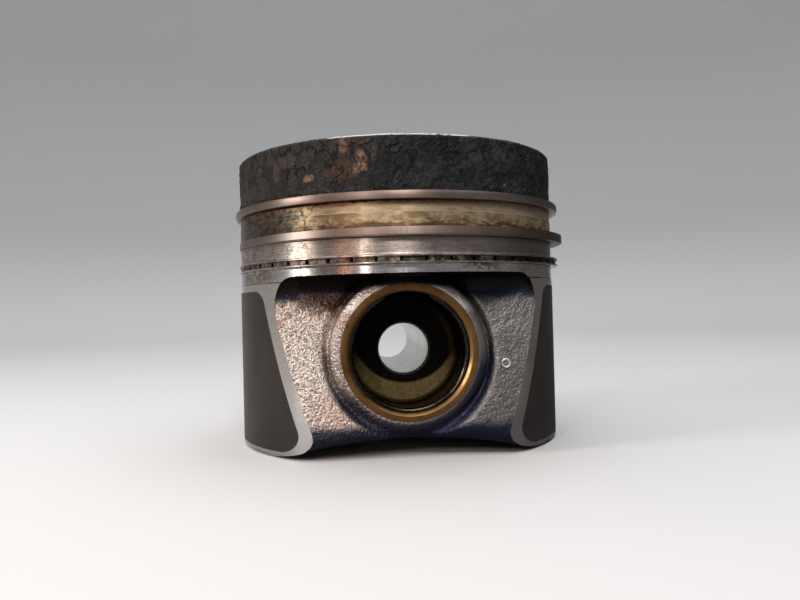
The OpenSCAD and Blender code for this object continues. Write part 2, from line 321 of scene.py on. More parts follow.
def tube(path, radius, sides, closed=False, taper=0, up=(0.0, 0.0, 1.0)):
    """Round wire along a path that never runs along up; taper counts the end rings that form a dome."""
    path = np.asarray(path, float)
    n = len(path)
    if closed:
        tangent = np.roll(path, -1, 0) - np.roll(path, 1, 0)
    else:
        tangent = np.gradient(path, axis=0)
    tangent /= np.linalg.norm(tangent, axis=1)[:, None]
    side = np.cross(tangent, up)
    side /= np.linalg.norm(side, axis=1)[:, None]
    other = np.cross(side, tangent)
    size = np.full(n, float(radius))
    for i in range(taper):
        size[i] = size[n - 1 - i] = radius * math.sqrt(1 - (1 - (i + 0.35) / taper) ** 2)
    angle = 2 * np.pi * np.arange(sides) / sides
    c, s = np.cos(angle)[None, :, None], np.sin(angle)[None, :, None]
    ring = c * side[:, None, :] + s * other[:, None, :]
    verts = (path[:, None, :] + size[:, None, None] * ring).reshape(-1, 3)
    faces = lattice(n, sides, closed, True)
    if closed:
        return verts, faces
    return verts, faces.tolist() + [list(range(sides)), [(n - 1) * sides + k for k in range(sides)]]


def rod(radius, start, end, sides):
    """A plain cylinder between two points, used as a cutter."""
    up = (1, 0, 0) if start[:2] == end[:2] else (0, 0, 1)
    return make_object("cutter", *tube([start, end], radius, sides, up=up))


# ---- the casting

def outer_void(x, out, z):
    """Room outside a boss wall: positive in the air. out grows away from the piston's axis."""
    r = np.hypot(x, z)
    valley = VALLEY_DEPTH * np.exp(-((r - VALLEY_R) / 1.25) ** 2)
    wall = (out - (WALL_OUT - WALL_SLOPE * z)) * WALL_COS + valley
    qx, qz = np.abs(x) - (RECESS_HALF - RECESS_R), z - (ROOF - RECESS_R)
    outline = RECESS_R - np.hypot(np.maximum(qx, 0), np.maximum(qz, 0))
    outline -= np.minimum(np.maximum(qx, qz), 0)
    void = smin(wall, outline, 0.8 + 5.0 * ease(8, 16, z))
    a, b = r - (BOSS_EDGE_R - BOSS_ROUND), out - (BOSS_FACE - BOSS_ROUND)
    boss = np.hypot(np.maximum(a, 0), np.maximum(b, 0)) + np.minimum(np.maximum(a, b), 0)
    void = smin(void, boss - BOSS_ROUND, 0.7)
    arch = ARCH_R - np.hypot(x, z - (ARCH_TOP - ARCH_R))
    return smax(void, arch, 4.5)


def inner_void(x, y, z):
    """Room inside the piston, under the crown: positive in the air."""
    wide = HOLLOW_R - 4.6 * ease(0, 16, z) + 1.0 * ease(-20, -24.2, z)
    void = smin(wide - np.hypot(x, y), HOLLOW_TOP - z, 5.0)
    out = np.abs(y)
    void = smin(void, (WALL_OUT - WALL_THICK - WALL_SLOPE * z - out) * WALL_COS, 4.0)
    boss = smax(np.hypot(x, z) - BOSS_R, BOSS_INNER - out, 1.5)
    pillar = smax(smax(np.abs(x) - (19.5 - 0.1 * z), BOSS_INNER - out, 1.5), -z, 1.0)
    return smin(void, smin(boss, pillar, 2.0), 4.0)


def cast_grain(void, x, y, z, rough, cell, seed):
    """Adds the sand-like unevenness of a cast skin near the surface."""
    near = np.abs(void) < 1.2
    bumps = fractal(x[near], y[near], z[near], cell, seed, 2, 0.6)
    out = void.copy()
    out[near] += rough * bumps
    return out


def recess_cutter(side, step, cell, seed):
    """Solid of the air outside one boss wall; side is -1 at the front and 1 at the back."""
    low, high = (-36.0, 21.0, -31.0), (36.0, 47.0, 20.5)
    x, out, z = grid(low, high, step)
    void = cast_grain(outer_void(x, out, z), x, out * side, z, 0.062 * cell, cell, seed)
    void = np.minimum(void, np.minimum(out - 24.0, 46.0 - out))
    void = np.minimum(void, np.minimum(35.0 - np.abs(x), z + 30.0))
    verts, quads = surface_net(-void, low, step)
    verts[:, 1] *= side
    return make_object("cutter", verts, quads[:, ::-1] if side < 0 else quads)


def hollow_cutter(step, seed):
    """Solid of the air inside the piston."""
    low, high = (-40.0, -36.0, -31.0), (40.0, 36.0, 27.0)
    x, y, z = grid(low, high, step)
    void = cast_grain(inner_void(x, y, z), x, y, z, 0.12, 2.6, seed)
    return make_object("cutter", *surface_net(-np.minimum(void, z + 30.0), low, step))


def bowl_outline():
    """Outline of the bowl from the centre cone's tip to the crown."""
    mid, tip = np.array([17.5, CROWN - 8.2]), np.array([0.0, CROWN - 4.5])
    r = 6.3
    reach = np.linalg.norm(mid - tip)
    slope = math.atan2(mid[1] - tip[1], mid[0]) - math.asin(r / reach)
    foot = tip + math.sqrt(reach ** 2 - r ** 2) * np.array([math.cos(slope), math.sin(slope)])
    first = math.atan2(foot[1] - mid[1], foot[0] - mid[0])
    last = math.acos((MOUTH_R - mid[0]) / r)
    pts = [tip, tip + [1.0, -0.35]] + [tip + (foot - tip) * t for t in (0.3, 0.6)]
    pts += [mid + r * np.array([math.cos(a), math.sin(a)]) for a in np.linspace(first, last, 26)]
    pts += [[MOUTH_R, CROWN - 1.0], [MOUTH_R + 0.3, CROWN - 0.3], [MOUTH_R + 1.0, CROWN]]
    return pts


def body_outline():
    """Turned outline of the casting, from the foot's centre round to the bowl's centre."""
    def groove(ring, floor):
        low, high = ring.z - ring.h / 2 - PLAY, ring.z + ring.h / 2 + PLAY
        return [[LAND_R, low], [floor, low], [floor, high], [LAND_R, high]]

    low, high = carrier_low[2], carrier_high[2]
    outer = [[0, FOOT], [30, FOOT], [SKIRT_R - 0.9, FOOT], [SKIRT_R, FOOT + 0.8]]
    outer += [[SKIRT_R, z] for z in (-15, -5, 5)]
    outer += [[SKIRT_R, SKIRT_TOP], [LAND_R, SKIRT_TOP + 0.15]]
    outer += groove(oil_ring, OIL_FLOOR) + groove(second_ring, GROOVE_FLOOR)
    outer += [[LAND_R, low], [TOP_R - 0.05, low], [CARRIER_IN, low + CARRIER_FLANK]]
    outer += [[CARRIER_IN, high - CARRIER_FLANK], [TOP_METAL_R, high]]
    outer += [[TOP_METAL_R, CROWN - 0.6], [TOP_METAL_R - 0.5, CROWN - 0.03], [36, CROWN], [30, CROWN]]
    return np.array(list(soften(outer, 0.12, closed=False)) + bowl_outline()[::-1])


def build_casting():
    """Turned solid minus the air round and inside it, pin bore, valve reliefs and oil holes."""
    body = make_object("piston_casting", *revolve_solid(body_outline(), 288))
    cutters = [recess_cutter(-1, 0.35, 0.85, 11), recess_cutter(1, 0.5, 1.4, 21)]
    cutters += [hollow_cutter(0.9, 31), rod(BUSH_R, (0, -60, 0), (0, 60, 0), 192)]
    for x, y in ((-18, -17), (-18, 17), (19, -16), (19, 16)):  # valve reliefs
        cutters.append(rod(13.0, (x, y, CROWN - 0.6), (x, y, CROWN + 2), 128))
    for a in np.radians((12, 192)):  # open holes of the oil gallery
        x, y = 31.4 * math.cos(a), 31.4 * math.sin(a)
        cutters.append(rod(1.9, (x, y, 20.5), (x, y, 34), 32))
    for a in np.radians((-24, 0, 24, 156, 180, 204)):  # oil drains
        inner, outer = [(r * math.cos(a), r * math.sin(a), oil_ring.z) for r in (30, 38.5)]
        cutters.append(rod(1.2, inner, outer, 24))
    cut(body, cutters)
    return body


def read(items, name, width=1, kind=np.float32):
    """One property of all faces, corners or vertices of a mesh."""
    out = np.zeros(len(items) * width, kind)
    items.foreach_get(name, out)
    return out.reshape(-1, width) if width > 1 else out


def face_zones(middle, normal):
    """Zone of each face: 0 turned, 1 cast, 2 crown and bowl, 3 bore."""
    x, y, z = middle.T
    r = np.hypot(x, y)
    out = (normal[:, 0] * x + normal[:, 1] * y) / np.maximum(r, 1e-3)
    zone = np.ones(len(r), np.int32)
    zone[(r > WALL_R) & (out > 0.95)] = 0
    zone[(r > 40.8) & (out > 0.5) & (z < FOOT + 0.9)] = 0
    zone[(r > 36.0) & (z > ROOF + 0.5)] = 0
    zone[(z < FOOT + 0.02) & (normal[:, 2] < -0.99)] = 0
    zone[(z > 26.6) & (r < 36.0)] = 2
    zone[z > CROWN - 0.75] = 2
    zone[(np.abs(np.hypot(x, z) - BUSH_R) < 0.03) & (np.abs(y) > BOSS_INNER - 0.2)] = 3
    return zone


def settle_casting(body, paints):
    """Gives each zone of the casting its finish, and true round normals where it was turned."""
    mesh = body.data
    normal = read(mesh.polygons, "normal", 3)
    zone = face_zones(read(mesh.polygons, "center", 3) / MM, normal)
    mesh.materials.clear()
    for paint in paints:
        mesh.materials.append(paint)
    mesh.polygons.foreach_set("material_index", zone)
    mesh.shade_smooth()
    crease(body, 28)
    corner = read(mesh.vertices, "co", 3)[read(mesh.loops, "vertex_index", kind=np.int32)] / MM
    owner = np.repeat(np.arange(len(zone)), read(mesh.polygons, "loop_total", kind=np.int32))
    r = np.hypot(corner[:, 0], corner[:, 1])
    wall = (np.abs(normal[owner, 2]) < 0.02) & (zone[owner] == 0) & (r > WALL_R)
    custom = np.zeros((len(owner), 3), np.float32)
    custom[wall, :2] = corner[wall, :2] / r[wall, None]
    mesh.normals_split_custom_set(custom.tolist())


# ---- the other pieces

def along_pin(verts):
    """Turns points made about Z so that they lie about the wrist pin's axis."""
    return np.stack([verts[:, 0], verts[:, 2], -verts[:, 1]], -1)


def hoop(name, place, outline, gap, gap_angle):
    """A sprung ring with its end gap, from an outline of (radius, height from its middle)."""
    half = math.degrees(math.asin(gap / 2 / place.r))
    shape = np.array(outline) + [0, place.z]
    ends = gap_angle + half, gap_angle + 360 - half
    return make_object(name, *revolve(shape, 480, *ends, centre_x=place.x))


def build_top_ring():
    """Ring with a barrel-shaped face."""
    r, h = top_ring.r, top_ring.h / 2
    barrel = ((0.05, -0.55), (0.01, -0.2), (0, 0), (0.01, 0.2), (0.05, 0.55))
    face = [[r - drop, h * t] for drop, t in barrel]
    outline = [[r - 3.3, -h], [r - 0.16, -h]] + face + [[r - 0.16, h], [r - 3.3, h]]
    return hoop("ring_top", top_ring, soften(outline, 0.08), 9.5, 60)


def build_second_ring():
    """Taper-faced ring with a step under its scraping edge."""
    r, h = second_ring.r, second_ring.h / 2
    outline = [[r - 3.4, -h], [r - 0.35, -h], [r - 0.35, 0.45 - h], [r, 0.25 - h], [r - 0.05, h]]
    return hoop("ring_second", second_ring, soften(outline + [[r - 3.4, h]], 0.07), 10, 118)


def build_oil_ring():
    """Two rails and a web with drain slots; its back is hollowed for the expander."""
    r, h = oil_ring.r, oil_ring.h / 2
    rail, web, seat = 0.45, r - 0.55, 0.87
    half = [[r - 2.4, -h], [r - 0.1, -h], [r, -h + 0.12], [r, -h + rail - 0.1], [web, -h + rail + 0.1]]
    outline = half + [[x, -z] for x, z in half[::-1]]
    start = math.acos(0.05 / seat)
    outline += [[COIL_R + seat * math.cos(a), seat * math.sin(a)]
                for a in np.linspace(start, -start, 13)]
    obj = hoop("ring_oil", oil_ring, outline, 8, OIL_GAP)
    verts, faces = [], []
    for i in range(48):
        a = math.radians((i + 0.5) * 7.5)
        c, s = math.cos(a), math.sin(a)
        for reach in (COIL_R - 0.2, r + 1):
            for side, rise in ((-0.4, -0.45), (0.4, -0.45), (0.4, 0.45), (-0.4, 0.45)):
                verts.append([c * reach - s * side + oil_ring.x, s * reach + c * side,
                              oil_ring.z + rise])
        for face in ("3210", "4567", "0154", "1265", "2376", "3047"):
            faces.append([8 * i + int(k) for k in face])
    cut(obj, [make_object("slots", verts, faces, smooth=False)])
    return obj


def build_expander():
    """The coil expander: a fine wire wound all the way round behind the oil ring."""
    turns, steps, wire = 340, 9, 0.21
    coil = 0.85 - wire
    a = 2 * np.pi * np.arange(turns * steps) / (turns * steps)
    r = COIL_R + coil * np.cos(a * turns)
    z = oil_ring.z + coil * np.sin(a * turns)
    path = np.stack([oil_ring.x + r * np.cos(a), r * np.sin(a), z], -1)
    return make_object("expander_coil", *tube(path, wire, 6, closed=True))


def arc_path(radius, start, end, count, x=0.0, z=0.0):
    a = np.radians(np.linspace(start, end, count))
    return np.stack([x + radius * np.cos(a), radius * np.sin(a), np.full(count, z)], -1)


def build_latch_wire():
    """Wire that joins the two ends of the expander, inside its coils, opposite the ring's gap."""
    path = arc_path(COIL_R, OIL_GAP + 160, OIL_GAP + 200, 60, oil_ring.x, oil_ring.z)
    return make_object("latch_wire", *tube(path, 0.35, 16, taper=3))


def build_circlip():
    """Round-wire snap ring in the front bushing, open by 44 degrees at the bottom."""
    wire = (clip_high[1] - clip_low[1]) / 2
    middle = (clip_low[1] + clip_high[1]) / 2
    path = along_pin(arc_path(BUSH_BORE_R + 0.87 - wire, -68, 248, 150, z=middle))
    return make_object("snap_ring", *tube(path, wire, 24, taper=5, up=(0.0, 1.0, 0.0)))


def build_bushing(name, side):
    """Brass bushing with its chamfer and the groove for a circlip."""
    low, high, floor = 30.1, 31.95, 14.9
    outline = [[BUSH_BORE_R, BOSS_INNER], [BUSH_R, BOSS_INNER], [BUSH_R, BOSS_FACE],
               [BUSH_BORE_R + 0.7, BOSS_FACE], [BUSH_BORE_R, BOSS_FACE - 0.7],
               [BUSH_BORE_R, high], [floor, high], [floor, low], [BUSH_BORE_R, low]]
    verts, faces = revolve(soften(outline, 0.13), 256)
    verts[:, 2] *= side
    return make_object(name, along_pin(verts), faces)


def build_pin():
    """Hollow pin with chamfered ends, cut into short bands so that its faces stay compact."""
    near, far = pin_low[1], pin_high[1]
    half = [[PIN_HOLE_R, 0.5], [PIN_HOLE_R + 0.5, 0], [PIN_R - 1.0, 0], [PIN_R, 1.0]]
    outline = soften([[r, near + d] for r, d in half] + [[r, far - d] for r, d in half[::-1]], 0.2)
    shape = []
    for p, q in zip(outline, np.roll(outline, -1, 0)):
        cuts = max(1, int(np.linalg.norm(q - p) / 6))
        shape += [p + (q - p) * t / cuts for t in range(cuts)]
    verts, faces = revolve(np.array(shape), 256)
    return make_object("gudgeon_pin", along_pin(verts), faces)


def build_carrier():
    """Iron hoop of dovetail section with the top ring's groove."""
    low, high = carrier_low[2], carrier_high[2]
    under, over = top_ring.z - top_ring.h / 2 - PLAY, top_ring.z + top_ring.h / 2 + PLAY
    outline = [[CARRIER_IN, low + CARRIER_FLANK], [TOP_R - 0.05, low], [TOP_R, low + 0.05],
               [TOP_R, under], [GROOVE_FLOOR, under], [GROOVE_FLOOR, over], [TOP_R - 0.08, over],
               [TOP_METAL_R, high], [CARRIER_IN, high - CARRIER_FLANK]]
    return make_object("carrier_hoop", *revolve(soften(outline, 0.12), 360))


def build_pad(name, side):
    """Printed coating: a thin film with the outline of the CAD pad."""
    low_z, high_z = pad_low[2], pad_high[2]
    rim, low_half, high_half, columns = 4.0, 29.0, 21.0, 96
    lean = math.atan2(low_half - high_half, high_z - low_z - 2 * rim)

    def corner(half, z, start, end):
        return [(half + rim * math.cos(a), z + rim * math.sin(a)) for a in np.linspace(start, end, 10)]

    rows = corner(low_half, low_z + rim, -math.pi / 2, lean)
    top = corner(high_half, high_z - rim, lean, math.pi / 2)
    (w0, z0), (w1, z1) = rows[-1], top[0]
    rows += [(w0 + (w1 - w0) * t, z0 + (z1 - z0) * t) for t in np.linspace(0, 1, 26)[1:-1]] + top
    verts = []
    for radius in (SKIRT_R + 0.03, SKIRT_R - 0.06):
        for width, z in rows:
            reach = math.asin(min(width / SKIRT_R, 1.0))
            row = arc_path(radius, -math.degrees(reach), math.degrees(reach), columns, z=z)
            verts.append(row * [side, 1, 1])
    total = len(rows) * columns
    film = lattice(len(rows), columns, False, False)
    point = np.arange(total).reshape(len(rows), columns)
    edge = [*point[0], *point[1:, -1], *point[-1, -2::-1], *point[-2:0:-1, 0]]
    wall = [[a, total + a, total + b, b] for a, b in zip(edge, edge[1:] + edge[:1])]
    return make_object(name, np.vstack(verts), np.vstack([film, total + film[:, ::-1], wall]))


def build_mark():
    """A small round witness mark on the front boss wall."""
    x, z = 22.8, -3.4
    y = -(WALL_OUT - WALL_SLOPE * z) - 0.12
    circle = arc_path(0.92, 0, 360, 49)[:-1]
    path = np.stack([circle[:, 0] + x, y + circle[:, 1] * WALL_SLOPE, circle[:, 1] + z], -1)
    return make_object("witness_mark", *tube(path, 0.3, 10, closed=True, up=(0.0, 1.0, 0.2)))


# ---- carbon on the top land

def flakes(u, v, cell, seed, wrap):
    """Broken plates: distance to the nearest crack, and a random number of the plate."""
    rng = np.random.default_rng(seed)
    nu, nv = int(round(wrap / cell)), 12
    cell_u = wrap / nu
    jitter = rng.uniform(0.08, 0.92, (nu, nv, 2))
    value = rng.uniform(0, 1, (nu, nv))
    iu, iv = np.floor(u / cell_u).astype(int), np.floor(v / cell).astype(int)
    first, second = np.full(u.shape, 1e9), np.full(u.shape, 1e9)
    plate = np.zeros(u.shape)
    for du in (-1, 0, 1):
        for dv in (-1, 0, 1):
            cu, cv = iu + du, iv + dv
            j = jitter[cu % nu, cv % nv]
            d = np.hypot((cu + j[..., 0]) * cell_u - u, (cv + j[..., 1]) * cell - v)
            closer = d < first
            second = np.where(closer, first, np.minimum(second, d))
            plate = np.where(closer, value[cu % nu, cv % nv], plate)
            first = np.where(closer, d, first)
    return second - first, plate


def patches(az, z, warp, spots):
    """1 inside ragged spots (azimuth, height and their half sizes), 0 outside, soft between."""
    out = np.zeros_like(az)
    for az0, z0, half_az, half_z in spots:
        q = np.hypot((az - az0) / half_az, (z - z0) / half_z) + 0.20 * warp
        out = np.maximum(out, 1 - ease(0.8, 1.1, q))
    return out


def build_crust():
    """Hoop of burnt oil on the top land, with cracks, broken plates and spots worn to the metal.

    The colour attribute wear holds bare metal, chips, cracks and a number of each plate.
    """
    az = np.concatenate([np.arange(-92, 92, 0.23), np.linspace(92, 268, 260)[:-1]])
    land = np.arange(top_ring.z + top_ring.h / 2 + 0.12, CROWN - 0.62, 0.175)
    rim_r = TOP_METAL_R
    path = [(0.0, z, 1.0) for z in land]
    path += [(0.06, CROWN - 0.45, 0.9), (0.2, CROWN - 0.28, 0.8), (0.35, CROWN - 0.12, 0.7),
             (0.55, CROWN - 0.01, 0.6), (0.9, CROWN, 0.5), (1.4, CROWN, 0.4),
             (2.0, CROWN, 0.3), (2.7, CROWN, 0.15)]
    inset, z0, amount = np.array(path).T
    r0 = rim_r - inset
    along = np.concatenate([[0], np.cumsum(np.hypot(np.diff(r0), np.diff(z0)))])
    a, v = np.meshgrid(az, along, indexing="ij")
    z = np.broadcast_to(z0, a.shape)
    s, c = np.sin(np.radians(a)), np.cos(np.radians(a))

    def rough(cell, seed, octaves, gain=0.5):
        return fractal(rim_r * s, -rim_r * c, z, cell, seed, octaves, gain)

    arc = math.radians(1) * rim_r
    wrap, u = 360 * arc, (a % 360) * arc
    bend, bend2 = rough(2.6, 51, 3), rough(2.6, 61, 3)
    jag, jag2 = rough(0.8, 65, 2), rough(0.8, 67, 2)
    crack_a, plate_a = flakes((u + 1.1 * bend + 0.35 * jag) % wrap,
                              v + 3 + 1.1 * bend2 + 0.35 * jag2, 4.2, 7, wrap)
    crack_b, plate_b = flakes((u + 0.5 * bend2 + 0.25 * jag) % wrap,
                              v + 2 + 0.5 * bend + 0.25 * jag2, 1.3, 9, wrap)
    broken = ease(0.0, 0.45, rough(4.2, 91, 2) + 0.15)
    level = 0.19 + 0.06 * rough(5.5, 81, 2) + 0.055 * rough(0.62, 71, 3, 0.6)
    level += 0.16 * (plate_a - 0.5) + 0.22 * (plate_b - 0.5) * broken
    crack = np.maximum((1 - ease(0.10, 0.62, crack_a)) * ease(-0.1, 0.3, rough(3.4, 95, 2)),
                       (1 - ease(0.05, 0.30, crack_b)) * broken * 0.4)
    level -= 0.22 * crack
    warp = 1.7 * rough(1.1, 99, 3)
    bare = patches(a, z, warp, ((-20.6, 41.4, 6.6, 2.7), (-14.6, 42.4, 2.0, 3.0),
                                (-20.3, 46.4, 1.3, 2.0), (-32.2, 40.0, 2.2, 0.9)))
    scuff = patches(a, z, warp, ((-12.8, 45.4, 4.2, 3.0), (-18, 46.3, 8.0, 2.2),
                                 (-45.7, 42.0, 1.6, 2.2), (-40, 44.5, 3.6, 1.6)))
    chip = patches(a, z, warp, ((18.2, 42.2, 2.2, 1.0), (21.8, 43.9, 2.4, 1.1),
                                (30.5, 45.4, 3.2, 1.6), (3.4, 42.2, 1.3, 0.9)))
    level *= (1 - 0.75 * bare) * (1 - 0.55 * chip)
    level *= 1 - 0.35 * (1 - ease(carrier_high[2] + 0.9, carrier_high[2] + 1.6, z))
    level += 0.02 + 0.26 * ease(0.15, 0.6, rough(0.75, 77, 2)) * (1 - ease(36.8, 38.4, z + 0.8 * bend))
    level = np.clip(level, 0.015, 0.45) * amount
    n, m = a.shape
    lean = np.concatenate([np.zeros(len(land)), np.linspace(0.15, 1.0, m - len(land))]) * np.pi / 2
    lean[-5:] = np.pi / 2
    r, h = r0 + level * np.cos(lean), z0 + level * np.sin(lean)
    inner_r = [rim_r - 2.7, rim_r - 0.5, rim_r - 0.4]
    inner_z = [CROWN - 0.4, CROWN - 0.9, carrier_high[2] - 0.02]
    r = np.hstack([r, np.tile(inner_r, (n, 1))])
    h = np.hstack([h, np.tile(inner_z, (n, 1))])
    verts = np.stack([r * s[:, :1], -r * c[:, :1], h], -1).reshape(-1, 3)
    rows = m + len(inner_r)
    obj = make_object("carbon_crust", verts, lattice(n, rows, True, True))
    wear = np.zeros((n, rows, 4), np.float32)
    worn = (bare, np.maximum(chip, scuff * 0.8), crack, 0.55 * plate_a + 0.45 * plate_b)
    wear[:, :m] = np.stack(worn, -1)
    layer = obj.data.color_attributes.new("wear", "FLOAT_COLOR", "POINT")
    layer.data.foreach_set("color", wear.ravel())
    return obj


# ---- finishes


def operation(name, swap=False):
    """A method of Field that adds one Math node."""
    def apply(self, other=0.0):
        return self.paint.math(name, *((other, self) if swap else (self, other)))
    return apply


class Field:
    """A value or colour that varies over a piece. Arithmetic on fields adds nodes."""

    def __init__(self, paint, socket):
        self.paint, self.socket = paint, socket

    __add__, __mul__, __abs__ = operation("ADD"), operation("MULTIPLY"), operation("ABSOLUTE")
    __sub__, __rsub__ = operation("SUBTRACT"), operation("SUBTRACT", swap=True)
    top = operation("MAXIMUM")

    def step(self, low, high, out_low=0.0, out_high=1.0):
        """Smooth ramp between low and high; low may be above high for a falling ramp."""
        node = self.paint.node("MapRange", self, low, high, out_low, out_high)
        node.interpolation_type = "SMOOTHSTEP"
        return Field(self.paint, node.outputs[0])

    def band(self, low, high, soft):
        """1 between low and high, falling to 0 outside."""
        return self.step(low - soft, low + soft) * self.step(high + soft, high - soft)

    def mix(self, a, b):
        """Colour a where the field is 0, b where it is 1."""
        node = self.paint.node("Mix")
        node.data_type = "RGBA"
        for i, value in ((0, self), (6, a), (7, b)):
            self.paint.feed(node.inputs[i], value)
        return Field(self.paint, node.outputs[2])


class Paint:
    """A material. Its fields work in millimetres of the piece's own space."""

    def __init__(self, name, metal=1.0):
        self.mat = bpy.data.materials.new(name)
        self.mat.use_nodes = True
        self.tree = self.mat.node_tree
        self.tree.nodes.clear()
        self.bsdf = self.node("BsdfPrincipled")
        self.tree.links.new(self.bsdf.outputs[0], self.node("OutputMaterial").inputs[0])
        self.set("Metallic", metal)
        scale = self.node("VectorMath")
        scale.operation = "SCALE"
        scale.inputs["Scale"].default_value = 1 / MM
        self.tree.links.new(self.node("TexCoord").outputs["Object"], scale.inputs[0])
        self.place = scale.outputs[0]
        parts = self.node("SeparateXYZ")
        self.tree.links.new(self.place, parts.inputs[0])
        self.x, self.y, self.z = (Field(self, part) for part in parts.outputs)

    def node(self, kind, *values):
        """A new shader node with its first sockets fed."""
        node = self.tree.nodes.new("ShaderNode" + kind)
        for socket, value in zip(node.inputs, values):
            self.feed(socket, value)
        return node

    def feed(self, socket, value):
        if isinstance(value, Field):
            self.tree.links.new(value.socket, socket)
        else:
            socket.default_value = (*value, 1.0) if isinstance(value, tuple) else value

    def set(self, name, value):
        self.feed(self.bsdf.inputs[name], value)

    def math(self, operation, a, b=0.0):
        node = self.node("Math", a, b)
        node.operation = operation
        return Field(self, node.outputs[0])

    def noise(self, scale, detail=3.0, rough=0.55, stretch=None):
        node = self.node("TexNoise")
        for name, value in (("Scale", scale), ("Detail", detail), ("Roughness", rough)):
            node.inputs[name].default_value = value
        source = self.place
        if stretch:
            size = self.node("VectorMath")
            size.operation = "MULTIPLY"
            size.inputs[1].default_value = stretch
            self.tree.links.new(source, size.inputs[0])
            source = size.outputs[0]
        self.tree.links.new(source, node.inputs["Vector"])
        return Field(self, node.outputs[0])

    def azimuth(self):
        """Degrees round the piston: 0 at the front, growing towards +X."""
        return self.math("ARCTAN2", self.x, self.y * -1.0) * math.degrees(1)

    def side_angle(self):
        """Azimuth of the front half. The back half repeats it mirrored, so nothing jumps there."""
        az = self.azimuth()
        size = abs(az)
        return self.math("MINIMUM", size, 180.0 - size) * self.math("SIGN", az)

    def distance(self, a, b):
        return self.math("SQRT", a * a + b * b)

    def radius(self):
        return self.distance(self.x, self.y)

    def pin_radius(self):
        return self.distance(self.x, self.z)

    def bump(self, height, depth):
        """Depth is the height of the bumps in millimetres."""
        node = self.node("Bump")
        node.inputs["Distance"].default_value = depth * MM
        node.inputs["Strength"].default_value = 1.0
        self.feed(node.inputs["Height"], height)
        self.tree.links.new(node.outputs[0], self.bsdf.inputs["Normal"])

    def lathe_grain(self, amount):
        """Stretches highlights along Z, as fine turning marks do."""
        tangent = self.node("Tangent")
        tangent.direction_type = "RADIAL"
        tangent.axis = "Z"
        self.tree.links.new(tangent.outputs[0], self.bsdf.inputs["Tangent"])
        self.set("Anisotropic", amount)
        self.set("Anisotropic Rotation", 0.25)

    def finish(self, colour, rough):
        self.set("Base Color", colour)
        self.set("Roughness", rough)
        return self.mat


